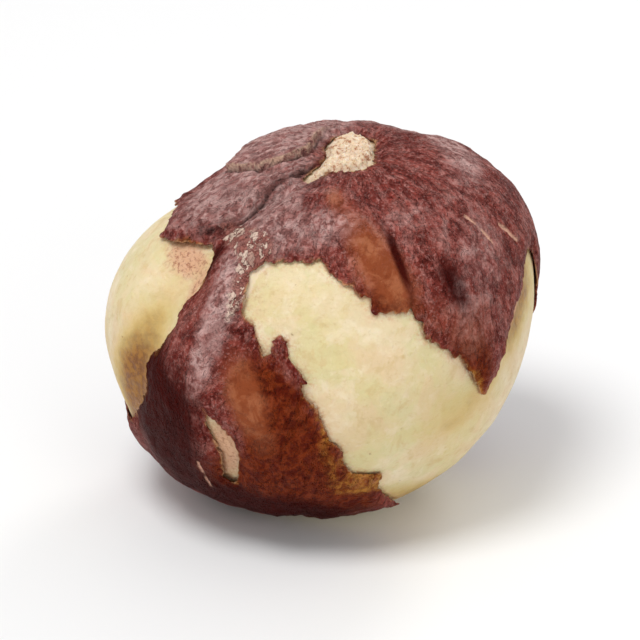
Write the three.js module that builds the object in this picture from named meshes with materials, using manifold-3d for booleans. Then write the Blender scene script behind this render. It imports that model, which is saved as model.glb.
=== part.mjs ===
// A shelled, roasted hazelnut: one pale kernel, and the brown papery skin that still covers two thirds of it.
// Millimetres, +Z up. The nut rests on a small flat spot at z = 0, under the middle of its bounding box, and
// its best side faces -Y. Places on the nut are a longitude and a colatitude, in degrees, about the line from
// its pale corky scar, on top, to its blunt tip: longitude 0 faces -Y, 90 faces +X, and the scar is at 0.
import * as THREE from "three";
import { mergeVertices } from "three/addons/utils/BufferGeometryUtils.js";
import Module from "manifold-3d";

const wasm = await Module();
wasm.setup();

// Driving dimensions
const HALF_WIDTH = 7.1;
const HALF_DEPTH = 6.7;
const HALF_HEIGHT = 6.35;
const SKIN_THICKNESS = 0.2;
const SKIN_GAP = 0.05; // between the kernel and the skin that clings to it
const REST_CUT = 0.26; // how far the resting spot is flattened
const SCAR_HEIGHT = 0.34; // the corky scar stands this far out of the kernel
const FACETS = 13; // splits of each edge of the icosahedron that every surface starts from

// The best side is seen from this far above the horizon. The outline's waves are counted round that view.
const VIEW_ELEVATION = THREE.MathUtils.degToRad(26);
const SCAR_AXIS = new THREE.Vector3(0.173, -0.12, 0.979).normalize();

// The outline as waves: [waves round the outline, cosine share, sine share] of the radius.
const OUTLINE_WAVES = [
  [1, 0.031, -0.004],
  [2, 0.002, 0.064],
  [3, -0.03, 0.011],
  [5, -0.006, 0.002],
  [6, 0.003, -0.01],
];

// Swellings, and hollows where the height is below 0. Across and along are half-widths in degrees of arc, and
// lean is how far the swelling drifts in longitude for each degree of colatitude.
const SWELLINGS = [
  { at: [-84, 74], across: 22, along: 26, lean: 0, height: 0.3 }, // left lobe
  { at: [-107, 50], across: 15, along: 11, lean: 0, height: -0.2 }, // hollow above the left lobe
  { at: [-56, 76], across: 8, along: 30, lean: 0, height: -0.4 }, // groove beside the left lobe
  { at: [-54, 32], across: 5, along: 17, lean: -0.2, height: -0.3 }, // crease from the scar
  { at: [-38, 60], across: 7, along: 34, lean: 0.2, height: 0.32 }, // front ridge
  { at: [6, 37], across: 8, along: 17, lean: 0.9, height: 0.3 }, // upper front swelling
  { at: [-19, 82], across: 7, along: 18, lean: 0.25, height: 0.22 }, // lower front swelling
  { at: [-6, 92], across: 6, along: 20, lean: 0.2, height: -0.14 }, // hollow beside it
  { at: [24, 36], across: 5, along: 24, lean: 0.3, height: -0.18 }, // hollow right of the upper swelling
  { at: [18, 78], across: 26, along: 17, lean: 0, height: 0.16 }, // bare front
  { at: [52, 58], across: 8, along: 30, lean: 0.1, height: 0.14 }, // right ridge
  { at: [118, 92], across: 12, along: 46, lean: 0.1, height: 0.28 }, // back right ridge
  { at: [152, 88], across: 8, along: 50, lean: 0.05, height: -0.48 }, // seam between the two halves
  { at: [-168, 84], across: 14, along: 40, lean: 0, height: 0.22 }, // back ridge
  { at: [-132, 96], across: 9, along: 42, lean: -0.1, height: -0.26 }, // back left groove
];

// Slow lumps all over: [frequency along X, Y and Z, phase, height].
const LUMPS = [
  [3.1, 1.7, 2.6, 0.4, 0.07],
  [-2.2, 4.3, 3.4, 1.9, 0.06],
  [5.2, 3.9, -4.6, 3.3, 0.05],
];

// Fine ridges of the skin, from the scar to the tip: [ridges round the nut, twist, phase, height].
const SKIN_RIDGES = [
  [11, 1.4, 0.6, 0.035],
  [17, -2.1, 2.2, 0.03],
];
// The edge of the skin that stands off the left lobe.
const FLAP = { at: [-69, 53], across: 13, along: 9, lean: 0, height: 0.16 };

// Bare windows worn through the skin, as outlines of [longitude, colatitude] points.
const FRONT_WINDOW = [
  [-31, 47], [-33, 52], [-31, 58], [-30, 62], [-26, 64], [-22, 68], [-19, 71], [-17, 70], [-18, 67],
  [-16, 65], [-13, 67], [-12, 70], [-8, 73], [-4, 76], [-6, 77], [-5, 80], [-1, 83], [2, 88], [4, 92],
  [8, 95], [10, 100], [13, 104], [22, 105], [24, 112], [29, 118], [38, 125], [56, 131], [78, 128],
  [94, 118], [101, 106], [98, 92], [101, 80], [97, 68], [95, 60], [90, 57], [84, 59], [78, 62], [71, 64],
  [66, 68], [60, 71], [57, 77], [53, 80], [50, 82], [47, 77], [44, 73], [41, 69], [37, 66], [33, 63],
  [29, 61], [28, 57], [25, 53], [21, 54], [17, 54], [13, 54], [10, 51], [3, 47], [-4, 45], [-7, 43],
  [-11, 41], [-15, 43], [-25, 45],
];
const LEFT_WINDOW = [
  [-75, 62], [-70, 60], [-65, 56], [-59, 52], [-53, 54], [-49, 59], [-48, 65], [-50, 70], [-49, 76],
  [-52, 84], [-54, 91], [-53, 99], [-56, 107], [-62, 115], [-70, 121], [-82, 124], [-94, 121],
  [-104, 114], [-110, 104], [-117, 97], [-116, 86], [-122, 76], [-117, 67], [-106, 64], [-98, 60],
  [-91, 59], [-84, 60], [-79, 61], [-80, 64],
];
const BACK_WINDOW = [
  [176, 58], [-176, 63], [-170, 61], [-163, 68], [-165, 79], [-158, 88], [-160, 98], [-168, 100],
  [-174, 109], [178, 103], [175, 92], [179, 84], [171, 76], [170, 66],
];
const TEAR = [
  [-32, 92], [-28, 94], [-23, 99], [-20, 105], [-20, 111], [-21, 117], [-24, 115], [-25, 108],
  [-27, 103], [-31, 97],
];
const SCAR = [
  [-95, 9], [-70, 11], [-56, 18], [-47, 18], [-38, 10], [-10, 8], [25, 7], [60, 6], [90, 6], [125, 7.5],
  [150, 12], [168, 15.5], [-172, 16.5], [-155, 15.5], [-135, 12], [-115, 10],
];
// The worn underside, round the resting spot: how far it reaches from there, in degrees, at even steps.
const UNDERSIDE_REACH = [31, 34, 38, 47, 49, 41, 32, 29, 31, 30, 33, 29];

const TEAR_STEPS = 2; // each stretch of a torn edge is split in this many
const TEAR_ROUGHNESS = 0.1; // how far the splits stray from the line, in millimetres
const SCAR_CLEARANCE = 0.12; // between the scar and the skin round it, in millimetres
const PLUG_NEAR = 0.25 * HALF_WIDTH; // what cuts a window starts this far from the middle of the nut
const PLUG_FAR = 1.4 * HALF_WIDTH; // and ends out here, clear of the skin
const ROOM = 6 * HALF_HEIGHT; // a block of this size holds the whole nut

// The frame that longitudes and colatitudes are counted in.
const FRONT = new THREE.Vector3(0, -1, 0).projectOnPlane(SCAR_AXIS).normalize();
const SIDE = new THREE.Vector3().crossVectors(SCAR_AXIS, FRONT);
const VIEW_UP = new THREE.Vector3(0, Math.sin(VIEW_ELEVATION), Math.cos(VIEW_ELEVATION));
const DOWN = new THREE.Vector3(0, 0, -1);

function direction([longitude, colatitude]) {
  const polar = new THREE.Spherical(
    1,
    THREE.MathUtils.degToRad(colatitude),
    THREE.MathUtils.degToRad(longitude),
  );
  // Here +Y is the scar, +Z longitude 0 and +X longitude 90.
  const local = new THREE.Vector3().setFromSpherical(polar);
  return new THREE.Vector3()
    .addScaledVector(FRONT, local.z)
    .addScaledVector(SIDE, local.x)
    .addScaledVector(SCAR_AXIS, local.y);
}

function placeOf(unit) {
  return {
    longitude: THREE.MathUtils.radToDeg(Math.atan2(unit.dot(SIDE), unit.dot(FRONT))),
    colatitude: THREE.MathUtils.radToDeg(unit.angleTo(SCAR_AXIS)),
  };
}

function swell({ at, across, along, lean, height }, { longitude, colatitude }) {
  const down = colatitude - at[1];
  const turned = THREE.MathUtils.euclideanModulo(longitude - at[0] - lean * down + 180, 360) - 180;
  const aside = turned * Math.sin(THREE.MathUtils.degToRad(colatitude));
  return height * Math.exp(-((aside / across) ** 2) - (down / along) ** 2);
}

// Distance from the middle of the nut to the kernel's surface.
function kernelRadius(unit) {
  const { x, y, z } = unit;
  const ellipsoid = 1 / Math.hypot(x / HALF_WIDTH, y / HALF_DEPTH, z / HALF_HEIGHT);
  const reach = Math.hypot(x, unit.dot(VIEW_UP));
  const turn = Math.atan2(unit.dot(VIEW_UP), x);
  let share = 1;
  for (const [waves, cosine, sine] of OUTLINE_WAVES)
    share += reach ** waves * (cosine * Math.cos(waves * turn) + sine * Math.sin(waves * turn));
  const place = placeOf(unit);
  let radius = ellipsoid * share;
  for (const swelling of SWELLINGS) radius += swell(swelling, place);
  for (const [fx, fy, fz, phase, height] of LUMPS)
    radius += height * Math.sin(fx * x + fy * y + fz * z + phase);
  return radius;
}

// Distance from the middle of the nut to the skin's inner face.
function skinRadius(unit) {
  return kernelRadius(unit) + SKIN_GAP + swell(FLAP, placeOf(unit));
}

function skinRidges(unit) {
  const { longitude, colatitude } = placeOf(unit);
  const turn = THREE.MathUtils.degToRad(longitude);
  const fall = THREE.MathUtils.degToRad(colatitude);
  let height = 0;
  for (const [count, twist, phase, high] of SKIN_RIDGES)
    height += high * Math.sin(count * turn + twist * fall + phase) * Math.sin(fall);
  return height;
}

function solidFrom(geometry) {
  geometry.deleteAttribute("normal");
  geometry.deleteAttribute("uv");
  const { attributes, index } = mergeVertices(geometry, 1e-4);
  const mesh = { numProp: 3, vertProperties: attributes.position.array, triVerts: index.array };
  return new wasm.Manifold(new wasm.Mesh(mesh));
}

// A closed body whose surface lies radiusAt(direction) from the middle of the nut.
function roundSolid(radiusAt) {
  const geometry = new THREE.IcosahedronGeometry(1, FACETS - 1);
  const position = geometry.attributes.position;
  const point = new THREE.Vector3();
  for (let i = 0; i < position.count; i++) {
    point.fromBufferAttribute(position, i).normalize();
    point.multiplyScalar(radiusAt(point));
    position.setXYZ(i, point.x, point.y, point.z);
  }
  return solidFrom(geometry);
}

// A repeatable stray between -1 and 1 for the n-th point of a torn edge.
function stray(n) {
  return 2 * THREE.MathUtils.euclideanModulo(Math.sin(n * 12.9898) * 43758.5453, 1) - 1;
}

// The rough line that a tear follows between the points of an outline, which is flat and in millimetres.
function torn(outline) {
  const rough = [];
  outline.forEach((from, i) => {
    const to = outline[(i + 1) % outline.length];
    const across = new THREE.Vector2(from.y - to.y, to.x - from.x).normalize();
    for (let step = 0; step < TEAR_STEPS; step++) {
      const aside = step === 0 ? 0 : TEAR_ROUGHNESS * stray(i * TEAR_STEPS + step);
      rough.push(from.clone().lerp(to, step / TEAR_STEPS).addScaledVector(across, aside));
    }
  });
  return rough;
}

function smooth(outline) {
  return outline;
}

// The scar's own outline, drawn in from the edge of its hole in the skin.
function drawnIn(outline) {
  const turning = THREE.ShapeUtils.isClockWise(outline) ? 1 : -1;
  return outline.map((point, i) => {
    const before = outline.at(i - 1);
    const after = outline[(i + 1) % outline.length];
    const inwards = [point.clone().sub(before), after.clone().sub(point)].map((run) =>
      new THREE.Vector2(run.y, -run.x).setLength(turning),
    );
    const share = SCAR_CLEARANCE / (1 + inwards[0].dot(inwards[1]));
    return point.clone().addScaledVector(inwards[0].add(inwards[1]), share);
  });
}

// A tapered plug that widens outwards from the middle of the nut, with directions as its outline.
function plug(directions, edge = torn) {
  const axis = directions.reduce((sum, d) => sum.add(d), new THREE.Vector3()).normalize();
  const right = new THREE.Vector3().crossVectors(Math.abs(axis.z) < 0.9 ? DOWN : SIDE, axis).normalize();
  const up = new THREE.Vector3().crossVectors(axis, right);
  const flat = directions.map((unit) =>
    new THREE.Vector2(unit.dot(right), unit.dot(up)).multiplyScalar(HALF_WIDTH / unit.dot(axis)),
  );
  const shape = new THREE.Shape(edge(flat));
  const geometry = new THREE.ExtrudeGeometry(shape, { depth: 1, bevelEnabled: false });
  const position = geometry.attributes.position;
  for (let i = 0; i < position.count; i++) {
    const out = THREE.MathUtils.lerp(PLUG_NEAR, PLUG_FAR, position.getZ(i));
    const point = axis
      .clone()
      .multiplyScalar(out)
      .addScaledVector(right, (position.getX(i) * out) / HALF_WIDTH)
      .addScaledVector(up, (position.getY(i) * out) / HALF_WIDTH);
    position.setXYZ(i, point.x, point.y, point.z);
  }
  return solidFrom(geometry);
}

function underside() {
  const side = new THREE.Vector3(1, 0, 0);
  return UNDERSIDE_REACH.map((reach, i) => {
    const tilted = DOWN.clone().applyAxisAngle(side, THREE.MathUtils.degToRad(reach));
    return tilted.applyAxisAngle(DOWN, (i / UNDERSIDE_REACH.length) * 2 * Math.PI);
  });
}

// The kernel, with its scar standing out of the top and its resting spot cut flat.
function kernelSolid() {
  const raised = roundSolid((unit) => kernelRadius(unit) + SCAR_HEIGHT);
  const scar = plug(SCAR.map(direction), drawnIn).intersect(raised);
  const whole = roundSolid(kernelRadius).add(scar);
  const floor = whole.boundingBox().min[2] + REST_CUT;
  const above = solidFrom(new THREE.BoxGeometry(ROOM, ROOM, ROOM).translate(0, 0, floor + ROOM / 2));
  return whole.intersect(above);
}

function skinSolid() {
  const outside = roundSolid((unit) => skinRadius(unit) + SKIN_THICKNESS + skinRidges(unit));
  const windows = [FRONT_WINDOW, LEFT_WINDOW, BACK_WINDOW, TEAR];
  const worn = windows.map((outline) => plug(outline.map(direction)));
  const bare = [...worn, plug(underside()), plug(SCAR.map(direction), smooth)];
  return bare.reduce((skin, window) => skin.subtract(window), outside.subtract(roundSolid(skinRadius)));
}

function meshOf(solid, name, colour, roughness) {
  const { vertProperties, triVerts } = solid.getMesh();
  const geometry = new THREE.BufferGeometry()
    .setAttribute("position", new THREE.BufferAttribute(vertProperties, 3))
    .setIndex(new THREE.BufferAttribute(triVerts, 1));
  geometry.computeVertexNormals();
  const material = new THREE.MeshStandardMaterial({ color: colour, roughness, metalness: 0 });
  const mesh = new THREE.Mesh(geometry, material);
  mesh.name = name;
  return mesh;
}

const nut = new THREE.Group();
nut.add(meshOf(kernelSolid(), "kernel", 0xe6d3a1, 0.55));
nut.add(meshOf(skinSolid(), "skin", 0x6e3a34, 0.6));

// The origin is under the middle of the whole nut, on the surface that it rests on.
const box = new THREE.Box3().setFromObject(nut);
const middle = box.getCenter(new THREE.Vector3());
nut.position.set(-middle.x, -middle.y, -box.min.z);

export default nut;
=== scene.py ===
import math

import bpy
import numpy as np
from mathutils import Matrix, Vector, noise


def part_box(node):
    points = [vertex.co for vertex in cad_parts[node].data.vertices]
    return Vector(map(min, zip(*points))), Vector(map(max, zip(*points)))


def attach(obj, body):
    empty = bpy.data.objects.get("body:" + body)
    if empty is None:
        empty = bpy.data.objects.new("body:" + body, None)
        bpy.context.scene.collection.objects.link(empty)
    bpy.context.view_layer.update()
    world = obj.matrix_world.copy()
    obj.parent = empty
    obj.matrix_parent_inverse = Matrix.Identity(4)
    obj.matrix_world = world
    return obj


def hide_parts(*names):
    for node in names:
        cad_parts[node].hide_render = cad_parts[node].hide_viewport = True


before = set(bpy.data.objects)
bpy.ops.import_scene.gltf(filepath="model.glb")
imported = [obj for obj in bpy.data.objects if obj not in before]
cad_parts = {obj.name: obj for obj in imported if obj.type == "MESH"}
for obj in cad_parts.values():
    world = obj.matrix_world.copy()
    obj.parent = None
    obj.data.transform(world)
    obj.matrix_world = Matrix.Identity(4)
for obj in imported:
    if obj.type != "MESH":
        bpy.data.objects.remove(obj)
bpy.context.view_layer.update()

# A shelled, roasted hazelnut on a white table: a cream kernel in a torn brown skin.
# The forms are worked out in millimetres about the middle of the nut, from the part's own dimensions, and are
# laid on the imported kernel's box. Places on the nut are a longitude and a colatitude, in degrees, about the
# line from its pale scar, on top, to its tip: longitude 0 faces -Y, 90 faces +X, and the scar is at 0.
MM = 0.001

# Dimensions of the part
HALF_WIDTH = 7.1
HALF_DEPTH = 6.7
HALF_HEIGHT = 6.35
SKIN_THICKNESS = 0.2
SKIN_GAP = 0.05
REST_CUT = 0.26
SCAR_HEIGHT = 0.34
VIEW_ELEVATION = math.radians(26)
SCAR_AXIS = np.array((0.173, -0.12, 0.979))
# Waves of the outline: how many go round, and their cosine and sine parts as shares of the radius
OUTLINE_WAVES = (
    (1, 0.031, -0.004),
    (2, 0.002, 0.064),
    (3, -0.03, 0.011),
    (5, -0.006, 0.002),
    (6, 0.003, -0.01),
)

# Swellings and hollows: longitude, colatitude, half-width across and along in degrees, lean and height in mm.
SWELLINGS = (
    (-84, 74, 22, 26, 0, 0.3),  # left lobe
    (-107, 50, 15, 11, 0, -0.2),  # hollow above the left lobe
    (-56, 76, 8, 30, 0, -0.4),  # groove beside the left lobe
    (-54, 32, 5, 17, -0.2, -0.3),  # crease from the scar
    (-38, 60, 7, 34, 0.2, 0.32),  # front ridge
    (6, 37, 8, 17, 0.9, 0.3),  # upper front swelling
    (-19, 82, 7, 18, 0.25, 0.22),  # lower front swelling
    (-6, 92, 6, 20, 0.2, -0.14),  # hollow beside it
    (24, 36, 5, 24, 0.3, -0.18),  # hollow right of the upper swelling
    (18, 78, 26, 17, 0, 0.16),  # bare front
    (52, 58, 8, 30, 0.1, 0.14),  # right ridge
    (118, 92, 12, 46, 0.1, 0.28),  # back right ridge
    (152, 88, 8, 50, 0.05, -0.48),  # seam between the two halves
    (-168, 84, 14, 40, 0, 0.22),  # back ridge
    (-132, 96, 9, 42, -0.1, -0.26),  # back left groove
)
# Lumps: frequency along x, y and z, phase and height
LUMPS = ((3.1, 1.7, 2.6, 0.4, 0.07), (-2.2, 4.3, 3.4, 1.9, 0.06), (5.2, 3.9, -4.6, 3.3, 0.05))
# Ridges of the skin: how many go round, their twist, phase and height
SKIN_RIDGES = ((11, 1.4, 0.6, 0.035), (17, -2.1, 2.2, 0.03))
# The lifted flap of the skin, with the columns of the swellings
FLAP = (-69, 53, 13, 9, 0, 0.16)

# Outlines of the bare windows, the tear and the scar
FRONT_WINDOW = (
    (-31, 47), (-33, 52), (-31, 58), (-30, 62), (-26, 64), (-22, 68), (-19, 71), (-17, 70), (-18, 67),
    (-16, 65), (-13, 67), (-12, 70), (-8, 73), (-4, 76), (-6, 77), (-5, 80), (-1, 83), (2, 88), (4, 92),
    (8, 95), (10, 100), (13, 104), (22, 105), (24, 112), (29, 118), (38, 125), (56, 131), (78, 128),
    (94, 118), (101, 106), (98, 92), (101, 80), (97, 68), (95, 60), (90, 57), (84, 59), (78, 62), (71, 64),
    (66, 68), (60, 71), (57, 77), (53, 80), (50, 82), (47, 77), (44, 73), (41, 69), (37, 66), (33, 63),
    (29, 61), (28, 57), (25, 53), (21, 54), (17, 54), (13, 54), (10, 51), (3, 47), (-4, 45), (-7, 43),
    (-11, 41), (-15, 43), (-25, 45),
)
LEFT_WINDOW = (
    (-75, 62), (-70, 60), (-65, 56), (-59, 52), (-53, 54), (-49, 59), (-48, 65), (-50, 70), (-49, 76),
    (-52, 84), (-54, 91), (-53, 99), (-56, 107), (-62, 115), (-70, 121), (-82, 124), (-94, 121),
    (-104, 114), (-110, 104), (-117, 97), (-116, 86), (-122, 76), (-117, 67), (-106, 64), (-98, 60),
    (-91, 59), (-84, 60), (-79, 61), (-80, 64),
)
BACK_WINDOW = (
    (176, 58), (-176, 63), (-170, 61), (-163, 68), (-165, 79), (-158, 88), (-160, 98), (-168, 100),
    (-174, 109), (178, 103), (175, 92), (179, 84), (171, 76), (170, 66),
)
TEAR = (
    (-32, 92), (-28, 94), (-23, 99), (-20, 105), (-20, 111), (-21, 117), (-24, 115), (-25, 108),
    (-27, 103), (-31, 97),
)
SCAR = (
    (-95, 9), (-70, 11), (-56, 18), (-47, 18), (-38, 10), (-10, 8), (25, 7), (60, 6), (90, 6), (125, 7.5),
    (150, 12), (168, 15.5), (-172, 16.5), (-155, 15.5), (-135, 12), (-115, 10),
)
# The worn underside: how far it reaches from straight below, in degrees, at even steps
UNDERSIDE_REACH = (31, 34, 38, 47, 49, 41, 32, 29, 31, 30, 33, 29)

# The crease where the skin folds over beside the scar. The fold rises within CREASE_RISE of it by CREASE_STEP
# and sinks again over CREASE_FALL, and wrinkles run along it.
# Painted shade darkens the crease's groove and the troughs between the wrinkles along it.
CREASE = ((-74, 8), (-66, 13), (-61, 19), (-62, 25), (-57, 32), (-54, 38), (-58, 45), (-62, 50))
CREASE_STEP = 0.1
CREASE_DEPTH = 0.09
CREASE_WIDTH = 0.1
CREASE_RISE = 0.12
CREASE_FALL = 1.8
WRINKLE_SPACING = 0.5
WRINKLE_HEIGHT = 0.06
WRINKLE_REACH = 1.5
# Painted shade in the troughs between the wrinkles: how dark it is, and how deep a trough starts to take it
# and takes the most
WRINKLE_SHADE = 0.45  # how dark the troughs between the wrinkles are
WRINKLE_TROUGH = (0.3, 0.9)  # how deep a trough starts to darken and is darkest, of 1

# A second sheet of skin that lies over the first behind the crease, and how far it stands up. Its edge is
# loose round one place and melts into the skin between the two angles from there.
SHEET = (
    (-97, 13), (-87, 20), (-86, 28), (-94, 35), (-103, 41), (-111, 44), (-122, 42), (-136, 48),
    (-156, 54), (-178, 50), (-178, 26), (-155, 20), (-135, 16), (-115, 13.5),
)
SHEET_STEP = 0.2
SHEET_LOOSE = (-98, 33)
SHEET_FADE = (16, 34)
SHEET_EDGE = 0.07  # half the width of the edge, in mm
SHEET_GROOVE = 0.08  # half the width of the groove under it, in mm

# Fineness of the meshes: splits of each edge of an icosahedron. The kernel's triangles are split once more
# for each band, in mm, round the scar's outline, and the skin's for each band along the torn edges, the
# crease, the second sheet's edge and the scratches.
KERNEL_SPLITS = 72
SKIN_SPLITS = 48
BOX_SPLITS = 40  # for the ball that the nut's box is measured on
SCAR_BANDS = (0.25, 0.25)
EDGE_BANDS = (0.35, 0.15)
CUT_CLEARANCE = 0.003  # how far in mm the cut stays from the mesh's own points, so that it leaves no slivers
OUTLINE_STEPS = 2  # each stretch of an outline is split in this many, to follow the round surface

# The torn edge: how thick the skin is there, and within what distance it is full and its relief settles
TORN_THICKNESS = 0.04
THINNEST = 0.8 * TORN_THICKNESS
TORN_TAPER = 0.45
RELIEF_TAPER = 0.5
TORN_REACH = 0.8  # how far from its outline an edge is ragged
EDGE_LIFT = 0.02  # how far every torn edge lifts from the kernel
EDGE_CURL = 0.12  # how much further it lifts in places
EDGE_CURL_SIZE = 1.1
EDGE_CURL_FADE = (0.0, 0.6)
EDGE_LIFT_REACH = 0.3

# The scar and the bare kernel, by the distance in mm into the scar's outline or the skin's torn edge
SCAR_CROWN = 0.8 * SCAR_HEIGHT
SCAR_RISE = (-0.02, 0.42)
SCAR_TINT = (-0.02, 0.12)
BARE_FADE = (0.1, -0.3)
NEAR_SKIN_REACH = 3

# Relief drawn by noise: its height and the size of its lumps in mm, its octaves and its seed
TORN_LOBES = (0.09, 0.8, 2, 1)
TORN_FIBRES = (0.1, 0.3, 2, 2)
TORN_TEETH = (0.06, 0.15, 2, 3)
SCAR_EDGE = (0.06, 0.3, 2, 6)
CORK = (0.08, 0.28, 3, 7)
FINE_CORK = (0.05, 0.12, 2, 8)
DENTS = (0.05, 1.9, 2, 9)
KERNEL_FIBRES = (0.012, 0.8, 3, 10)
SKIN_FIBRES = (0.05, 0.5, 3, 12)
SKIN_LUMPS = (0.03, 0.7, 3, 13)
SCRATCH_BEND = (0.06, 0.25, 2, 14)
CREASE_BEND = (0.12, 0.7, 2, 15)
SHEET_BEND = (0.1, 0.5, 3, 16)
FLAKES = (0.07, 0.3, 3, 17)
NOISE_ROUGHNESS = 0.9
NOISE_STEP = 2.1  # how much finer each octave is
NOISE_SHIFT = (17.3, -9.1, 5.7)

# Patches of colour on the skin: longitude, colatitude, half-width across and along, lean and strength.
WORN = (
    (13, 41, 8.5, 16, 0.74, 1.0),
    (-14, 22, 3.5, 5, 0.6, 0.45),
    (-19.5, 86, 7.5, 14, 0.45, 1.0),
    (122, 80, 8, 24, 0.1, 0.8),
    (-150, 72, 6, 20, 0, 0.7),
    (-118, 40, 7, 10, 0.2, 0.4),
    (46, 60, 12, 14, 0, 0.45),
    (70, 148, 14, 12, 0, 0.5),
)
RUSSET = (
    (-14, 84, 10, 15, 0.4, 1.0),
    (-3, 99, 14, 16, 0.4, 1.0),
    (-14, 116, 20, 13, 0, 1.0),
    (14, 118, 14, 10, 0, 0.9),
    (16, 51, 12, 6, 0.4, 0.8),
    (40, 66, 5, 12, 0.3, 0.5),
    (47, 73, 6, 10, 0, 1.0),
    (130, 60, 14, 20, 0, 0.6),
    (-168, 50, 12, 10, 0, 0.6),
    (-145, 118, 14, 16, 0, 0.7),
    (112, 112, 10, 20, 0, 0.6),
)
# Pale mauve patches, partly a dusty bloom on the skin and partly painted sheen and highlights on the flap,
# the ridges and the top of the dome
BLOOM_AND_SHEEN = (
    (-80, 42, 17, 15, 0, 1.0),
    (-105, 30, 22, 16, 0, 1.0),
    (-39, 52, 5, 22, 0.25, 0.9),
    (-34, 38, 9, 8, 0, 0.9),
    (-35, 74, 3.5, 14, 0, 0.9),
    (-10, 33, 8, 7, 0, 0.6),
    (115, 30, 14, 6, 0, 0.9),
    (62, 42, 16, 14, 0, 0.4),
    (46, 62, 12, 14, 0, 0.3),
    (-118, 30, 20, 12, 0, 1.0),
    (30, 28, 12, 6, 0, 0.3),
    (170, 40, 26, 14, 0, 0.6),
    (-142, 92, 7, 24, 0, 0.6),
    (164, 88, 6, 34, 0.1, 0.7),
    (126, 96, 6, 30, 0.1, 0.5),
    (-170, 124, 24, 10, 0, 0.5),
)
# Dark patches: a few of the skin's own dark spots, and painted shade on the lower left, along the bottom, in
# the groove beside the left lobe and in the seam and grooves at the back
DARK_SPOTS_AND_SHADE = (
    (-44, 103, 13, 20, 0, 1.0),
    (-57, 86, 6, 18, 0, 0.9),
    (-51, 58, 3.5, 12, 0, 0.8),
    (-10, 128, 30, 12, 0, 1.0),
    (42, 49, 4, 9, 0.3, 0.8),
    (22.5, 40, 1.8, 13, 0.25, 0.85),
    (152, 84, 3.5, 50, 0.05, 0.8),
    (150, 114, 14, 20, 0, 0.6),
    (-132, 92, 4, 36, -0.1, 0.6),
    (-120, 132, 20, 12, 0, 0.6),
)
# Skin so thin that the kernel glows through it
THIN = (
    (17, 109, 9, 5, 0, 1.0),
    (4, 97, 3.5, 11, 0.5, 0.65),
    (48, 77, 4, 6, 0, 0.55),
    (-68, 56, 8, 2.5, 0, 0.3),
    (-164, 56, 12, 4, 0, 0.7),
)
# Frayed skin, in pale flakes with dark cracks between them
FRAY = (
    (-39, 45, 7, 5, 0, 0.9),
    (-34, 51, 2.5, 8, 0, 0.9),
    (-32, 60, 1.5, 7, 0, 0.6),
    (-52, 45, 6, 3.5, 0, 0.9),
    (165, 52, 9, 4, 0, 0.8),
)
# Golden brown on the bare kernel, partly toasting and partly painted shade low on the left lobe and in the
# groove beside it, and brown stains that the skin left on it
TOAST_AND_SHADE = (
    (-59, 104, 10, 20, 0, 1.15),
    (-58, 80, 6, 14, 0, 0.3),
    (-92, 112, 20, 12, 0, 0.4),
    (74, 67, 12, 14, -1.2, 0.75),
    (92, 90, 18, 30, 0, 0.3),
    (46, 122, 30, 8, 0, 0.5),
    (40, 88, 12, 10, 0, 0.3),
    (-165, 100, 10, 12, 0, 0.7),
)
STAIN = (
    (-63, 60, 9, 6, 0, 1.0),
    (-51, 66, 2.5, 10, 0, 0.6),
    (-28, 54, 3, 12, 0.3, 0.35),
    (-25, 105, 6, 14, 0, 1.0),
    (73, 65, 2, 9, -1.7, 0.9),
    (-172, 66, 8, 6, 0, 0.9),
)
# Short pale scratches in the skin, each from one place to another
SCRATCHES = (
    ((62, 35), (68, 45)),
    ((80, 44), (84, 51)),
    ((-32, 112), (-29, 122)),
    ((135, 60), (141, 74)),
    ((-125, 70), (-122, 84)),
)
SCRATCH_WIDTH = 0.08
SCRATCH_CORE = 0.2 * SCRATCH_WIDTH
SCRATCH_DEPTH = 0.03

# The skin's fibres: how much slower they change from the scar to the tip than round the nut, how wide the
# ring they make at the scar is, as a share, and how far they wander, in radians and over what length in mm
FIBRE_STRETCH = 0.4
FIBRE_RING = 0.35
FIBRE_DRIFT = 0.1
FIBRE_DRIFT_SIZE = 2.6


def unit(vectors):
    return vectors / np.linalg.norm(vectors, axis=-1, keepdims=True)


SCAR_AXIS = unit(SCAR_AXIS)
FRONT = unit(np.array((0.0, -1.0, 0.0)) + SCAR_AXIS[1] * SCAR_AXIS)
SIDE = np.cross(SCAR_AXIS, FRONT)
VIEW_UP = np.array((0.0, math.sin(VIEW_ELEVATION), math.cos(VIEW_ELEVATION)))


def directions(places):
    """Directions of places given by longitude and colatitude."""
    longitude, colatitude = np.radians(np.array(places, float)).T
    across = np.sin(colatitude)[:, None]
    return (
        across * (np.cos(longitude)[:, None] * FRONT + np.sin(longitude)[:, None] * SIDE)
        + np.cos(colatitude)[:, None] * SCAR_AXIS
    )


def places_of(d):
    """Longitude and colatitude of each direction."""
    return np.degrees(np.arctan2(d @ SIDE, d @ FRONT)), np.degrees(np.arccos(np.clip(d @ SCAR_AXIS, -1, 1)))


def swell(swelling, places):
    """Height of a row of swellings or patches at each place."""
    longitude, colatitude = places
    at_longitude, at_colatitude, across, along, lean, height = swelling
    down = colatitude - at_colatitude
    turned = (longitude - at_longitude - lean * down + 180) % 360 - 180
    aside = turned * np.sin(np.radians(colatitude))
    return height * np.exp(-((aside / across) ** 2) - (down / along) ** 2)


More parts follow.
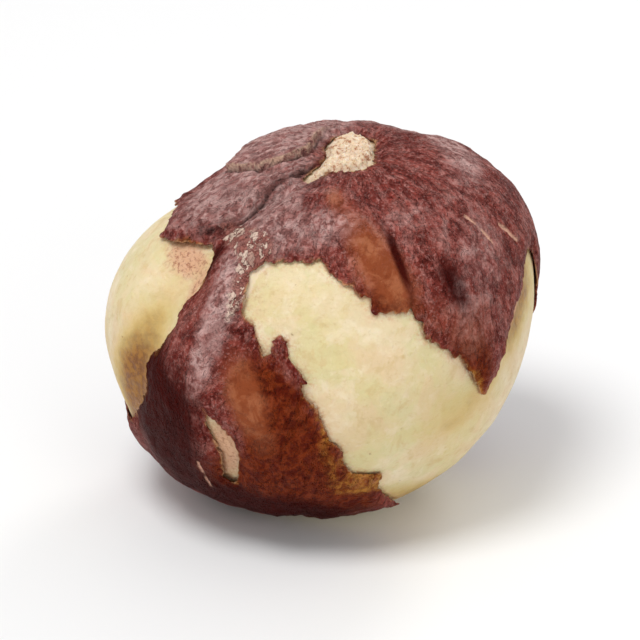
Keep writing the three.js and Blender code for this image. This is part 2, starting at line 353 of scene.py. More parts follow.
def kernel_radius(d):
    """Distance from the middle of the nut to the kernel's surface, as in the part."""
    ellipsoid = 1 / np.linalg.norm(d / (HALF_WIDTH, HALF_DEPTH, HALF_HEIGHT), axis=1)
    across, up = d[:, 0], d @ VIEW_UP
    reach, turn = np.hypot(across, up), np.arctan2(up, across)
    share = 1.0
    for waves, cosine, sine in OUTLINE_WAVES:
        share = share + reach**waves * (cosine * np.cos(waves * turn) + sine * np.sin(waves * turn))
    places = places_of(d)
    radius = ellipsoid * share
    for swelling in SWELLINGS:
        radius = radius + swell(swelling, places)
    for *frequency, phase, height in LUMPS:
        radius = radius + height * np.sin(d @ np.array(frequency) + phase)
    return radius


def skin_ridges(d):
    """Height in mm of the ridges that run from the scar to the tip, as in the part."""
    longitude, colatitude = np.radians(places_of(d))
    height = 0.0
    for count, twist, phase, high in SKIN_RIDGES:
        height = height + high * np.sin(count * longitude + twist * colatitude + phase) * np.sin(colatitude)
    return height


def smoothstep(low, high, value):
    t = np.clip((value - low) / (high - low), 0, 1)
    return t * t * (3 - 2 * t)


def grain(points, size, octaves=1, seed=0):
    """Smooth noise, about -1 to 1, with lumps of the given size, at points in the same unit."""
    shift = Vector(NOISE_SHIFT) * (seed + 1)
    scaled = (points / size).tolist()
    if octaves == 1:
        return np.array([noise.noise(Vector(p) + shift) for p in scaled])
    return np.array(
        [noise.fractal(Vector(p) + shift, NOISE_ROUGHNESS, NOISE_STEP, octaves) for p in scaled]
    )


def rough(points, kind):
    """Relief in mm of one of the named kinds."""
    height, size, octaves, seed = kind
    return height * grain(points, size, octaves, seed)


def along_fibres(d):
    """Coordinates in mm that change quickly round the nut and slowly from the scar to the tip."""
    longitude, colatitude = np.radians(places_of(d))
    turn = longitude + FIBRE_DRIFT * grain(d * HALF_WIDTH, FIBRE_DRIFT_SIZE, seed=4)
    ring = HALF_WIDTH * (FIBRE_RING + (1 - FIBRE_RING) * np.sin(colatitude))
    fall = FIBRE_STRETCH * HALF_WIDTH * colatitude
    return np.stack((ring * np.cos(turn), ring * np.sin(turn), fall), axis=1)


def distance_to_lines(points, starts, ends):
    """For each point its distance to the nearest of the stretches, and which one that is."""
    best = np.full(len(points), np.inf)
    which = np.zeros(len(points), int)
    for number, (start, end) in enumerate(zip(starts, ends)):
        run = end - start
        share = np.clip((points - start) @ run / (run @ run), 0, 1)
        distance = np.linalg.norm(points - start - share[:, None] * run, axis=1)
        nearer = distance < best
        best[nearer] = distance[nearer]
        which[nearer] = number
    return best, which


STEEP = 0.9  # an axis less steep than this is squared up by the view's up, and a steeper one by the front
HORIZON = 0.05  # a direction has to lie at least this much along the outline's axis to be inside it
TINY = 1e-12  # keeps a level stretch of an outline from dividing by 0


def inside(outline, d):
    """Whether each direction lies in the outline, which is a closed line of directions."""
    axis = unit(outline.sum(0))
    right = unit(np.cross(VIEW_UP if abs(axis[2]) < STEEP else FRONT, axis))
    up = np.cross(axis, right)
    ahead = d @ axis > HORIZON
    seen = d[ahead] / (d[ahead] @ axis)[:, None]
    x, y = seen @ right, seen @ up
    flat = outline / (outline @ axis)[:, None]
    corners_x, corners_y = flat @ right, flat @ up
    crossings = np.zeros(len(x), int)
    for x0, y0, x1, y1 in zip(corners_x, corners_y, np.roll(corners_x, -1), np.roll(corners_y, -1)):
        between = (y0 > y) != (y1 > y)
        crossings += between & (x < x0 + (x1 - x0) * (y - y0) / (y1 - y0 + TINY))
    result = np.zeros(len(d), bool)
    result[ahead] = crossings % 2 == 1
    return result


def split_line(outline, steps):
    """The closed line with more points on each stretch, so that it follows the round surface."""
    ends = np.roll(outline, -1, axis=0)
    shares = np.arange(steps)[:, None, None] / steps
    return unit((outline + shares * (ends - outline)).transpose(1, 0, 2).reshape(-1, 3))


def distance_outside(outline, d):
    """Distance in mm from the outline on a ball as big as the nut, below 0 inside it."""
    line = split_line(outline, OUTLINE_STEPS) * HALF_WIDTH
    distance, _ = distance_to_lines(d * HALF_WIDTH, line, np.roll(line, -1, axis=0))
    return np.where(inside(outline, d), -distance, distance)


def underside():
    """The outline of the worn underside, as directions."""
    turns = np.arange(len(UNDERSIDE_REACH)) * 2 * math.pi / len(UNDERSIDE_REACH)
    reach = np.radians(UNDERSIDE_REACH)
    return np.stack((np.sin(reach) * np.sin(turns), np.sin(reach) * np.cos(turns), -np.cos(reach)), axis=1)


SCAR_LINE = directions(SCAR)
WINDOWS = [directions(outline) for outline in (FRONT_WINDOW, LEFT_WINDOW, BACK_WINDOW, TEAR)]
BARE = [*WINDOWS, underside(), SCAR_LINE]


def skin_depth(d):
    """Distance in mm into the skin from its torn edge, below 0 where the kernel is bare."""
    depth = np.min([distance_outside(outline, d) for outline in BARE], axis=0)
    points = d * HALF_WIDTH
    fibres = along_fibres(d)
    torn = rough(points, TORN_LOBES) + rough(fibres, TORN_FIBRES) + rough(points, TORN_TEETH)
    return depth + torn * np.exp(-((depth / TORN_REACH) ** 2))


def crease_side(d):
    """Distance in mm from the crease, above 0 on the fold's side."""
    line = directions(CREASE) * HALF_WIDTH
    starts, ends = line[:-1], line[1:]
    distance, which = distance_to_lines(d * HALF_WIDTH, starts, ends)
    normals = unit(np.cross(starts, ends))
    side = np.einsum("ij,ij->i", d, normals[which])
    return np.where(side < 0, distance, -distance)


def on_sheet(d):
    """Distance in mm from the edge of the second sheet of skin, above 0 on it."""
    return -distance_outside(directions(SHEET), d) + rough(d * HALF_WIDTH, SHEET_BEND)


def scratch_distance(d):
    """Distance in mm from the nearest scratch."""
    starts, ends = (directions(places) * HALF_WIDTH for places in zip(*SCRATCHES))
    distance, _ = distance_to_lines(d * HALF_WIDTH, starts, ends)
    return distance


def patches(rows, d):
    """How strongly the patches of a table cover each direction, 0 to 1."""
    places = places_of(d)
    return np.clip(sum(swell(patch, places) for patch in rows), 0, 1)


# Meshes on a ball: directions and triangles
def ball(splits):
    """An icosahedron with each face split into splits x splits triangles."""
    golden = (1 + math.sqrt(5)) / 2
    corners = np.array((
        (-1, golden, 0), (1, golden, 0), (-1, -golden, 0), (1, -golden, 0),
        (0, -1, golden), (0, 1, golden), (0, -1, -golden), (0, 1, -golden),
        (golden, 0, -1), (golden, 0, 1), (-golden, 0, -1), (-golden, 0, 1),
    ))
    sides = (
        (0, 11, 5), (0, 5, 1), (0, 1, 7), (0, 7, 10), (0, 10, 11),
        (1, 5, 9), (5, 11, 4), (11, 10, 2), (10, 7, 6), (7, 1, 8),
        (3, 9, 4), (3, 4, 2), (3, 2, 6), (3, 6, 8), (3, 8, 9),
        (4, 9, 5), (2, 4, 11), (6, 2, 10), (8, 6, 7), (9, 8, 1),
    )
    rows = [(i, j) for i in range(splits + 1) for j in range(splits + 1 - i)]
    number = {place: n for n, place in enumerate(rows)}
    shares = np.array([(splits - i - j, i, j) for i, j in rows]) / splits
    small = []
    for i, j in rows:
        if i + j < splits:
            small.append((number[i, j], number[i + 1, j], number[i, j + 1]))
        if i + j < splits - 1:
            small.append((number[i + 1, j], number[i + 1, j + 1], number[i, j + 1]))
    points = np.concatenate([shares @ corners[list(side)] for side in sides])
    faces = np.concatenate([np.array(small) + n * len(rows) for n in range(len(sides))])
    _, first, same = np.unique(np.round(points, 6), axis=0, return_index=True, return_inverse=True)
    return unit(points[first]), same.reshape(-1)[faces]


def refine(d, faces, chosen):
    """Splits each chosen triangle into four, and its neighbours so that no gap opens."""
    corners = np.stack((faces, np.roll(faces, -1, axis=1)), axis=2)
    key = corners.min(2) * len(d) + corners.max(2)
    split = np.unique(key[chosen])
    is_split = np.isin(key, split)
    middle = len(d) + np.searchsorted(split, key)
    points = np.concatenate((d, unit(d[split // len(d)] + d[split % len(d)])))
    count = is_split.sum(1)
    kept = [faces[count == 0]]
    for turn in range(3):
        a, b, c = np.roll(faces, -turn, axis=1).T
        ab, bc, ca = np.roll(middle, -turn, axis=1).T
        on_ab, on_bc, _ = np.roll(is_split, -turn, axis=1).T
        one = (count == 1) & on_ab
        kept += [np.stack((a, ab, c), 1)[one], np.stack((ab, b, c), 1)[one]]
        two = (count == 2) & on_ab & on_bc
        kept += [np.stack(t, 1)[two] for t in ((ab, b, bc), (a, ab, bc), (a, bc, c))]
        if turn == 0:
            four = count == 3
            kept += [np.stack(t, 1)[four] for t in ((a, ab, ca), (ab, b, bc), (ca, bc, c), (ab, bc, ca))]
    return points, np.concatenate(kept)


def clip(d, faces, depth):
    """The part of the mesh where depth is above 0, cut along the line where it is 0."""
    depth = np.copysign(np.maximum(np.abs(depth), CUT_CLEARANCE), depth)
    corners = np.stack((faces, np.roll(faces, -1, axis=1)), axis=2)
    key = corners.min(2) * len(d) + corners.max(2)
    within = depth > 0
    crossed = within[corners[..., 0]] != within[corners[..., 1]]
    cut = np.unique(key[crossed])
    middle = len(d) + np.searchsorted(cut, key)
    a, b = cut // len(d), cut % len(d)
    share = (depth[a] / (depth[a] - depth[b]))[:, None]
    points = np.concatenate((d, unit(d[a] + share * (d[b] - d[a]))))
    depths = np.concatenate((depth, np.zeros(len(cut))))
    count = within[faces].sum(1)
    kept = [faces[count == 3]]
    for turn in range(3):
        a, b, c = np.roll(faces, -turn, axis=1).T
        ab, bc, ca = np.roll(middle, -turn, axis=1).T
        one = (count == 1) & within[a]
        kept.append(np.stack((a, ab, ca), 1)[one])
        two = (count == 2) & ~within[c]
        kept += [np.stack((a, b, bc), 1)[two], np.stack((a, bc, ca), 1)[two]]
    return tidy(points, np.concatenate(kept), depths)


def tidy(points, faces, depths):
    """Keeps the largest connected sheet and drops points that no triangle uses."""
    label = np.arange(len(points))
    while True:
        lowest = label[faces].min(1)
        new = label.copy()
        np.minimum.at(new, faces, lowest[:, None])
        new = new[new]
        if (new == label).all():
            break
        label = new
    labels, sizes = np.unique(label[faces[:, 0]], return_counts=True)
    faces = faces[label[faces[:, 0]] == labels[sizes.argmax()]]
    used, faces = np.unique(faces, return_inverse=True)
    return points[used], faces.reshape(-1, 3), depths[used]


def rim_of(faces):
    """Edges that only one triangle has, in that triangle's order."""
    edges = np.concatenate([faces[:, pair] for pair in ((0, 1), (1, 2), (2, 0))])
    key = edges.min(1) * (faces.max() + 1) + edges.max(1)
    _, first, count = np.unique(key, return_index=True, return_counts=True)
    return edges[first[count == 1]]


def make_piece(name, points, faces, attributes):
    """A smooth mesh object, with points in mm about the middle of the nut."""
    mesh = bpy.data.meshes.new(name)
    mesh.from_pydata(((points + MIDDLE) * MM).tolist(), [], faces.tolist())
    mesh.shade_smooth()
    for label, values in attributes.items():
        if values.ndim == 1:
            mesh.attributes.new(label, "FLOAT", "POINT").data.foreach_set("value", values.astype(np.float32))
        else:
            layer = mesh.attributes.new(label, "FLOAT_VECTOR", "POINT")
            layer.data.foreach_set("vector", values.astype(np.float32).ravel())
    piece = bpy.data.objects.new(name, mesh)
    bpy.context.collection.objects.link(piece)
    return piece


# Where the middle of the nut lies in the frame, in mm
low, high = (np.array(corner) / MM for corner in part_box("kernel"))
sample, _ = ball(BOX_SPLITS)
whole = sample * kernel_radius(sample)[:, None]
FLOOR = whole[:, 2].min() + REST_CUT
apart = (low + high) / 2 - (whole.min(0) + whole.max(0)) / 2
MIDDLE = np.array((apart[0], apart[1], low[2] - FLOOR))


# Shader nodes
def colour(text):
    """A colour written as on the screen, as the shader takes it."""
    parts = [int(text[i : i + 2], 16) / 255 for i in (0, 2, 4)]
    return tuple(c / 12.92 if c <= 0.04045 else ((c + 0.055) / 1.055) ** 2.4 for c in parts) + (1.0,)


class Shader:
    """A material, and short calls that add nodes to it.

    An input may be a number, a colour or another node's output.
    """

    def __init__(self, name):
        self.material = bpy.data.materials.new(name)
        self.material.use_nodes = True
        self.nodes = self.material.node_tree.nodes
        self.links = self.material.node_tree.links
        self.surface = self.nodes["Principled BSDF"]
        place = self.nodes.new("ShaderNodeTexCoord").outputs["Object"]
        self.place = self.vector("SCALE", place, scale=1 / MM)

    def put(self, socket, value):
        if isinstance(value, bpy.types.NodeSocket):
            self.links.new(value, socket)
        else:
            socket.default_value = value

    def add(self, kind, settings=None, inputs=None):
        node = self.nodes.new(kind)
        for key, value in (settings or {}).items():
            setattr(node, key, value)
        for key, value in (inputs or {}).items():
            self.put(node.inputs[key], value)
        return node

    def vector(self, operation, first, second=(0, 0, 0), scale=1.0):
        node = self.add("ShaderNodeVectorMath", {"operation": operation})
        self.put(node.inputs[0], first)
        if operation == "SCALE":
            self.put(node.inputs["Scale"], scale)
        else:
            self.put(node.inputs[1], second)
        return node.outputs[0]

    def attribute(self, name, output="Fac"):
        return self.add("ShaderNodeAttribute", {"attribute_name": name}).outputs[output]

    def noise(self, place, size, detail=2.0, roughness=0.5, distortion=0.0, output="Fac"):
        """Soft noise from 0 to 1 with lumps of the given size in mm."""
        inputs = {"Vector": place, "Scale": 1 / size, "Detail": detail, "Roughness": roughness}
        return self.add("ShaderNodeTexNoise", None, inputs | {"Distortion": distortion}).outputs[output]

    def cells(self, place, size, feature="F1", output="Distance"):
        inputs = {"Vector": place, "Scale": 1 / size}
        return self.add("ShaderNodeTexVoronoi", {"feature": feature}, inputs).outputs[output]

    def step(self, value, low, high, to_low=0.0, to_high=1.0):
        inputs = {"Value": value, "From Min": low, "From Max": high, "To Min": to_low, "To Max": to_high}
        return self.add("ShaderNodeMapRange", {"interpolation_type": "SMOOTHSTEP"}, inputs).outputs["Result"]

    def math(self, operation, first, second=0.0):
        node = self.add("ShaderNodeMath", {"operation": operation})
        self.put(node.inputs[0], first)
        self.put(node.inputs[1], second)
        return node.outputs[0]

    def mix(self, share, first, second):
        node = self.add("ShaderNodeMix", {"data_type": "RGBA"})
        self.put(node.inputs[0], share)
        self.put(node.inputs[6], first)
        self.put(node.inputs[7], second)
        return node.outputs[2]

    def tint(self, base, share, strength, text):
        """Lays a colour over base, as far as share says, times strength."""
        return self.mix(self.math("MULTIPLY", share, strength), base, colour(text))

    def layers(self, base, *rows):
        """Lays colours over base. Each row is a value, where it starts and is full, strength and colour."""
        for value, start, full, strength, text in rows:
            base = self.mix(self.step(value, start, full, 0, strength), base, colour(text))
        return base

    def bump(self, height, depth, strength=1.0, normal=None):
        """Relief of the given depth in mm where height goes from 0 to 1."""
        inputs = {"Height": height, "Distance": depth * MM, "Strength": strength}
        if normal is not None:
            inputs["Normal"] = normal
        return self.add("ShaderNodeBump", None, inputs).outputs["Normal"]

    def finish(self, **inputs):
        for key, value in inputs.items():
            self.put(self.surface.inputs[key.replace("_", " ").title().replace("Ior", "IOR")], value)
        return self.material


def kernel_material():
    s = Shader("kernel_flesh")
    fibre = s.attribute("fibre", "Vector")
    near = s.attribute("near_skin")
    scar = s.attribute("scar")

    # Cream, mottled with straw yellow, pale green and pink
    broad = s.noise(s.place, 2.6, 3, 0.5, 0.4)
    tint = s.noise(s.place, 1.7, 3, 0.55, 0.8)
    middle = s.noise(s.place, 0.8, 5, 0.62, 0.4)
    fine = s.noise(s.place, 0.22, 5, 0.65)
    streak = s.noise(fibre, 0.6, 4, 0.6)
    cream = s.mix(s.step(broad, 0.38, 0.62), colour("e0cda6"), colour("daca98"))
    cream = s.layers(
        cream,
        (tint, 0.5, 0.62, 0.5, "e0c29c"),
        (tint, 0.48, 0.38, 0.5, "d4cb97"),
        (middle, 0.5, 0.68, 0.7, "ebdcc0"),
        (middle, 0.46, 0.32, 0.6, "cfb47e"),
        (streak, 0.52, 0.7, 0.25, "d1b683"),
        (fine, 0.54, 0.72, 0.35, "c6a670"),
    )
    # Golden brown, partly toasting and partly painted shade low on the left lobe and in the groove beside it
    patchy = s.math("ADD", s.math("MULTIPLY", broad, 0.6), s.math("MULTIPLY", middle, 0.6))
    toast_and_shade = s.math("SUBTRACT", s.math("ADD", s.attribute("toast_and_shade"), patchy), 0.6)
    toast_and_shade_colour = s.mix(s.step(fine, 0.4, 0.62), colour("7c4a14"), colour("a06c28"))
    cream = s.layers(cream, (toast_and_shade, 0.0, 0.6, 0.9, "cfb068"))
    cream = s.mix(s.step(toast_and_shade, 0.32, 1.0), cream, toast_and_shade_colour)
    # Stains and shreds of the inner skin where it came away last
    shred = s.noise(s.place, 0.12, 5, 0.72, 0.1)
    flecks = s.step(shred, 0.5, 0.6)
    stain = s.step(s.math("ADD", s.attribute("stain"), s.math("MULTIPLY", fine, 0.7)), 0.5, 1.15)
    cream = s.tint(cream, stain, 0.8, "cf9a7c")
    cream = s.tint(cream, s.math("MULTIPLY", stain, flecks), 0.7, "8f5232")
    reach = s.math("MULTIPLY", s.step(near, 0.0, 0.4, 1, 0), s.step(shred, 0.46, 0.6))
    cream = s.tint(cream, reach, 0.6, "d3a078")
    line = s.math("MULTIPLY", s.step(near, 0.0, 0.1, 1, 0), s.step(shred, 0.38, 0.5))
    cream = s.tint(cream, line, 0.5, "9a5a38")
    fringe = s.math("MULTIPLY", s.attribute("fringe"), s.step(near, 0.1, 0.7, 1, 0))
    fringe = s.step(s.math("ADD", fringe, shred), 0.75, 1.0)
    cream = s.tint(cream, fringe, 0.7, "ecd8ba")
    speck = s.step(s.cells(s.place, 0.8), 0.04, 0.09, 1, 0)
    speck = s.math("MULTIPLY", speck, s.step(middle, 0.5, 0.56))
    cream = s.tint(cream, speck, 0.6, "8a5a30")

    cork = s.noise(s.place, 0.2, 6, 0.72)
    corky = s.mix(s.step(cork, 0.38, 0.5), colour("a8704e"), colour("e2c8aa"))
    corky = s.mix(s.step(cork, 0.54, 0.64), corky, colour("f2e2cc"))
    base = s.mix(scar, cream, corky)

    dent = s.noise(s.place, 0.45, 5, 0.6)
    relief = s.bump(dent, 0.08)
    relief = s.bump(fine, 0.03, 1.0, relief)
    relief = s.bump(streak, 0.03, 1.0, relief)
    relief = s.bump(cork, 0.06, scar, relief)
    return s.finish(
        base_color=base,
        roughness=s.step(fine, 0.3, 0.7, 0.42, 0.6),
        normal=relief,
        subsurface_weight=0.25,
        subsurface_radius=(1.0, 0.62, 0.3),
        subsurface_scale=0.8 * MM,
        specular_ior_level=0.35,
    )


def skin_material():
    s = Shader("nut_skin")
    fibre = s.attribute("fibre", "Vector")
    depth = s.attribute("depth")
    crease = s.attribute("crease")

    broad = s.noise(s.place, 2.4, 3, 0.5, 0.5)
    middle = s.noise(s.place, 0.7, 5, 0.66, 0.6)
    strand = s.noise(fibre, 0.5, 3, 0.5, 0.5)
    mottle = s.noise(s.place, 0.3, 5, 0.66, 0.5)
    fine = s.noise(s.place, 0.1, 4, 0.66)
    # Veins that run far from the scar to the tip, and a net of fine wrinkles
    long = s.vector("MULTIPLY", fibre, (1, 1, 0.4))
    vein = s.math("ABSOLUTE", s.math("SUBTRACT", s.noise(long, 0.6, 5, 0.6, 0.3), 0.5))
    bent = s.vector("ADD", fibre, s.vector("SCALE", s.noise(s.place, 0.5, 4, 0.7, 0, "Color"), scale=0.7))
    net = s.cells(bent, 0.42, "DISTANCE_TO_EDGE")
    small_net = s.cells(bent, 0.2, "DISTANCE_TO_EDGE")

    # Reddish brown, paler and pinker where it is thick, darker along its veins and wrinkles
    base = s.mix(s.step(broad, 0.4, 0.6), colour("7f332c"), colour("94463d"))
    base = s.layers(
        base,
        (middle, 0.5, 0.62, 0.6, "a8675d"),
        (middle, 0.48, 0.4, 0.5, "5c1e19"),
        (strand, 0.52, 0.66, 0.4, "b67d75"),
        (strand, 0.48, 0.36, 0.4, "481411"),
        (mottle, 0.52, 0.64, 0.55, "b98078"),
        (mottle, 0.47, 0.36, 0.55, "4a1512"),
        (fine, 0.53, 0.64, 0.35, "c4918a"),
        (fine, 0.48, 0.38, 0.4, "3c100d"),
    )
    wrinkle = s.math("MULTIPLY", s.step(net, 0.0, 0.1, 1, 0), s.step(mottle, 0.44, 0.58))
    base = s.tint(base, wrinkle, 0.5, "3a0f0c")
    base = s.tint(base, s.step(vein, 0.0, 0.018, 1, 0), 0.55, "300b09")
    russet = s.step(s.math("ADD", s.attribute("russet"), s.math("MULTIPLY", middle, 0.9)), 0.65, 1.25)
    reddish = s.mix(s.step(mottle, 0.38, 0.62), colour("541404"), colour("7c300e"))
    base = s.mix(s.math("MULTIPLY", russet, 0.94), base, reddish)
    worn = s.step(s.math("ADD", s.attribute("worn"), s.math("MULTIPLY", broad, 0.5)), 0.45, 1.15)
    smooth = s.mix(s.step(middle, 0.42, 0.6), colour("8a4628"), colour("a2603f"))
    smooth = s.layers(smooth, (mottle, 0.46, 0.34, 0.4, "6c2e18"))
    base = s.mix(s.math("MULTIPLY", worn, 0.92), base, smooth)
    # Painted shade on the lower left, along the bottom and in the grooves and the seam, with a few of the
    # skin's own dark spots
    dark_spots_and_shade = s.step(s.math("ADD", s.attribute("dark_spots_and_shade"), s.math("MULTIPLY", middle, 0.5)), 0.4, 0.95)
    base = s.tint(base, dark_spots_and_shade, 0.97, "3a0401")
    # A dusty bloom on the skin's raised grain, together with painted sheen and highlights on the flap, the
    # ridges and the top of the dome
    dust_and_glints = s.math("MULTIPLY", s.step(mottle, 0.4, 0.58), s.step(strand, 0.36, 0.56, 0.35, 1))
    bloom_and_sheen = s.step(s.math("ADD", s.attribute("bloom_and_sheen"), s.math("MULTIPLY", middle, 0.6)), 0.45, 1.1)
    base = s.tint(base, bloom_and_sheen, 0.4, "a57c77")
    base = s.tint(base, s.math("MULTIPLY", bloom_and_sheen, dust_and_glints), 0.75, "d2aca6")
    # Painted shade: near-black in the crease, in the groove under the second sheet's edge and in the troughs
    # between the wrinkles
    base = s.mix(s.math("MULTIPLY", crease, s.step(mottle, 0.38, 0.54, 0.3, 0.92)), base, colour("1e0505"))
    # Frayed flakes, and the scratches
    flakes = s.step(small_net, 0.0, 0.1)
    fray = s.step(s.math("ADD", s.attribute("fray"), s.math("MULTIPLY", mottle, 1.4)), 1.0, 1.3)
    pale = s.step(s.cells(bent, 0.2, "F1", "Color"), 0.5, 0.7)
    flake = s.mix(pale, colour("a0655a"), colour("e8ceba"))
    base = s.mix(s.math("MULTIPLY", fray, 0.8), base, s.mix(flakes, colour("5a2420"), flake))
    base = s.mix(s.attribute("scratch"), base, colour("dcaa92"))
    # Near a torn edge the skin is thin and lets the kernel glow through
    thin = s.math("ADD", s.attribute("thin"), s.step(depth, 0.0, 0.3, 0.5, 0))
    thin = s.step(s.math("ADD", thin, middle), 0.85, 1.45)
    glow = s.mix(s.step(mottle, 0.42, 0.58), colour("8e4a1a"), colour("bd8238"))
    base = s.mix(s.math("MULTIPLY", thin, 0.85), base, glow)
    rim = s.math("MULTIPLY", s.step(depth, 0.0, 0.05, 1, 0), s.step(middle, 0.46, 0.6))
    base = s.tint(base, rim, 0.7, "c59a72")
    sheet = s.math("MULTIPLY", s.attribute("sheet_edge"), s.step(mottle, 0.36, 0.56))
    base = s.tint(base, sheet, 0.8, "c9a68c")

    rugged = s.math("SUBTRACT", 1.0, s.math("MULTIPLY", worn, 0.75))
    relief = s.bump(strand, 0.07, rugged)
    relief = s.bump(s.step(vein, 0.0, 0.05), 0.04, rugged, relief)
    relief = s.bump(s.step(net, 0.0, 0.2), 0.035, rugged, relief)
    relief = s.bump(s.step(small_net, 0.0, 0.3), 0.02, rugged, relief)
    relief = s.bump(mottle, 0.07, rugged, relief)
    relief = s.bump(fine, 0.02, 1.0, relief)
    return s.finish(
        base_color=base,
        roughness=s.step(s.math("ADD", fine, worn), 0.3, 1.4, 0.54, 0.36),
        normal=relief,
        specular_ior_level=0.06,
        specular_tint=(1.0, 0.62, 0.56, 1.0),
    )


# The kernel
def make_kernel():
    d, faces = ball(KERNEL_SPLITS)
    for band in SCAR_BANDS:
        near_scar = distance_outside(SCAR_LINE, d) < band
        d, faces = refine(d, faces, near_scar[faces].any(1))
    depth = skin_depth(d)
    points = d * HALF_WIDTH
    fibre = along_fibres(d)
    pad = rough(points, SCAR_EDGE) - distance_outside(SCAR_LINE, d)
    cork = rough(points, CORK) + rough(points, FINE_CORK)
    swells = rough(points, DENTS) + rough(fibre, KERNEL_FIBRES)
    radius = kernel_radius(d) + smoothstep(*BARE_FADE, depth) * swells
    radius = radius + smoothstep(*SCAR_RISE, pad) * (SCAR_CROWN + cork)
    points = d * radius[:, None]
    points[:, 2] = np.maximum(points[:, 2], FLOOR)
    attributes = {
        "fibre": fibre,
        "near_skin": np.clip(-depth, 0, NEAR_SKIN_REACH),
        "toast_and_shade": patches(TOAST_AND_SHADE, d),
        "stain": patches(STAIN, d),
        "fringe": patches(FRAY, d),
        "scar": smoothstep(*SCAR_TINT, pad),
    }
    return make_piece("nut_kernel", points, faces, attributes)


# The skin, a thin closed shell round the kernel
def make_skin():
    d, faces = ball(SKIN_SPLITS)
    for band in EDGE_BANDS:
        lines = (skin_depth(d), crease_side(d), on_sheet(d), scratch_distance(d))
        nearest = np.min(np.abs(lines), axis=0)
        d, faces = refine(d, faces, (nearest < band)[faces].any(1))
    d, faces, depth = clip(d, faces, skin_depth(d))
    points = d * HALF_WIDTH
    fibre = along_fibres(d)

    # The inner face, close to the kernel and lifted along the torn edges
    curled = smoothstep(*EDGE_CURL_FADE, grain(points, EDGE_CURL_SIZE, seed=11))
    lift = np.exp(-depth / EDGE_LIFT_REACH) * (EDGE_LIFT + EDGE_CURL * curled)
    inner = kernel_radius(d) + SKIN_GAP + swell(FLAP, places_of(d)) + lift

    # The relief of the outer face: ridges and wrinkles, then the fold, the second sheet and the flakes
    fold = crease_side(d) + rough(points, CREASE_BEND)
    raised = smoothstep(0.0, CREASE_RISE, fold) * np.exp(-np.clip(fold, 0, None) / CREASE_FALL)
    groove = np.exp(-((fold / CREASE_WIDTH) ** 2))
    folds = np.cos(fold * 2 * math.pi / WRINKLE_SPACING) * np.exp(-((fold / WRINKLE_REACH) ** 2))
    # How much painted shade the troughs between the wrinkles take
    troughs = WRINKLE_SHADE * smoothstep(*WRINKLE_TROUGH, -folds)
    wrinkles = rough(fibre, SKIN_FIBRES) + rough(points, SKIN_LUMPS)
    settled = smoothstep(0, RELIEF_TAPER, depth)
    relief = settled * (skin_ridges(d) + wrinkles + WRINKLE_HEIGHT * folds)
    sheet = on_sheet(d)
    full, none = np.cos(np.radians(SHEET_FADE))
    loose = smoothstep(none, full, d @ directions([SHEET_LOOSE])[0])
    # The groove under the second sheet's loose edge, sunk into the relief and darkened with painted shade
    under_sheet = loose * np.exp(-(((sheet + SHEET_EDGE) / SHEET_GROOVE) ** 2))
    dark = np.maximum(groove, under_sheet)
    relief = relief + CREASE_STEP * raised - CREASE_DEPTH * dark
    relief = relief + SHEET_STEP * loose * smoothstep(0, SHEET_EDGE, sheet)
    frayed = patches(FRAY, d)
    relief = relief + frayed * rough(points, FLAKES)

    # The outer face, thin at the torn edges and cut by the scratches
    thick = TORN_THICKNESS + (SKIN_THICKNESS - TORN_THICKNESS) * smoothstep(0, TORN_TAPER, depth)
    scratched = smoothstep(SCRATCH_WIDTH, SCRATCH_CORE, scratch_distance(d) + rough(points, SCRATCH_BEND))
    outer = inner + np.maximum(thick + relief, THINNEST) - SCRATCH_DEPTH * scratched

    # The rim that joins the two faces
    count = len(d)
    start, end = rim_of(faces).T
    side = np.concatenate((
        np.column_stack((end, start, start + count)),
        np.column_stack((end, start + count, end + count)),
    ))
    attributes = {
        "fibre": fibre,
        "depth": depth,
        "worn": patches(WORN, d),
        "russet": patches(RUSSET, d),
        "bloom_and_sheen": patches(BLOOM_AND_SHEEN, d),
        "dark_spots_and_shade": patches(DARK_SPOTS_AND_SHADE, d),
        "thin": patches(THIN, d),
        "fray": frayed,
        "scratch": scratched,
        # Painted shade in the crease, in the groove under the sheet's edge and in the troughs between the
        # wrinkles
        "crease": np.maximum(dark, troughs),
        "sheet_edge": loose * np.exp(-(((sheet - SHEET_EDGE) / SHEET_EDGE) ** 2)),
    }
    both = {label: np.concatenate((values, values)) for label, values in attributes.items()}
    shell = np.concatenate((d * outer[:, None], d * inner[:, None]))
    triangles = np.concatenate((faces, faces[:, ::-1] + count, side))
    return make_piece("nut_skin", shell, triangles, both)


kernel = make_kernel()
kernel.data.materials.append(kernel_material())
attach(kernel, "root")
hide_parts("kernel")

skin = make_skin()
skin.data.materials.append(skin_material())
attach(skin, "root")
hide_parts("skin")


# The table, the light and the camera
TABLE_RADIUS = 3.0
TABLE_SIDES = 96
WORLD_STRENGTH = 0.6
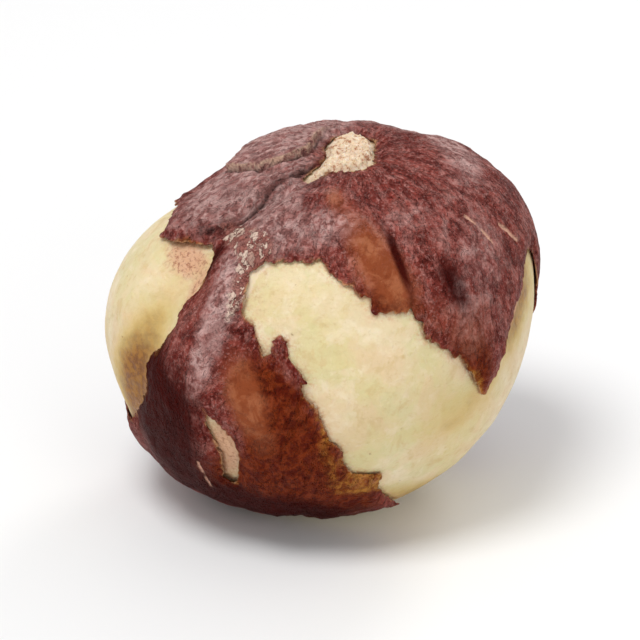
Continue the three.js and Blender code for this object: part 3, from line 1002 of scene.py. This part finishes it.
# Lamps: name, place in metres, width in metres and power in watts
LAMPS = (
    ("softbox", (-0.055, -0.06, 0.2), 0.09, 0.265),
    ("back_light", (0.1, 0.18, 0.12), 0.08, 0.12),
    ("front_fill", (0.12, -0.22, 0.12), 0.12, 0.08),
)
CAMERA_LENS = 300
CAMERA_SENSOR = 36
CAMERA_NEAREST = 0.01  # what the camera sees starts here, in metres
CAMERA_FARTHEST = 10
FRAME_WIDTH = 21.5 * MM  # what the picture takes in at the nut


def make_table():
    bpy.ops.mesh.primitive_circle_add(
        vertices=TABLE_SIDES, radius=TABLE_RADIUS, fill_type="NGON", location=(0, 0, 0)
    )
    table = bpy.context.object
    table.name = "table"
    shader = Shader("white_table")
    table.data.materials.append(shader.finish(base_color=colour("ededed"), roughness=0.6))


def make_light(name, place, size, power, towards):
    data = bpy.data.lights.new(name, "AREA")
    data.shape = "DISK"
    data.size = size
    data.energy = power
    lamp = bpy.data.objects.new(name, data)
    lamp.location = place
    lamp.rotation_euler = (towards - Vector(place)).to_track_quat("-Z", "Y").to_euler()
    bpy.context.collection.objects.link(lamp)


make_table()
centre = Vector((MIDDLE * MM).tolist())
for name, place, size, power in LAMPS:
    make_light(name, place, size, power, centre)
world = bpy.data.worlds.new("studio")
world.use_nodes = True
world.node_tree.nodes["Background"].inputs["Color"].default_value = (1, 1, 1, 1)
world.node_tree.nodes["Background"].inputs["Strength"].default_value = WORLD_STRENGTH
bpy.context.scene.world = world
bpy.context.scene.view_settings.view_transform = "Standard"

camera_data = bpy.data.cameras.new("camera")
camera_data.lens = CAMERA_LENS
camera_data.sensor_width = CAMERA_SENSOR
camera_data.clip_start = CAMERA_NEAREST
camera_data.clip_end = CAMERA_FARTHEST
camera = bpy.data.objects.new("camera", camera_data)
back = Vector((0, -math.cos(VIEW_ELEVATION), math.sin(VIEW_ELEVATION)))
camera.location = centre + back * (FRAME_WIDTH * CAMERA_LENS / CAMERA_SENSOR)
camera.rotation_euler = (-back).to_track_quat("-Z", "Y").to_euler()
bpy.context.collection.objects.link(camera)
bpy.context.scene.camera = camera
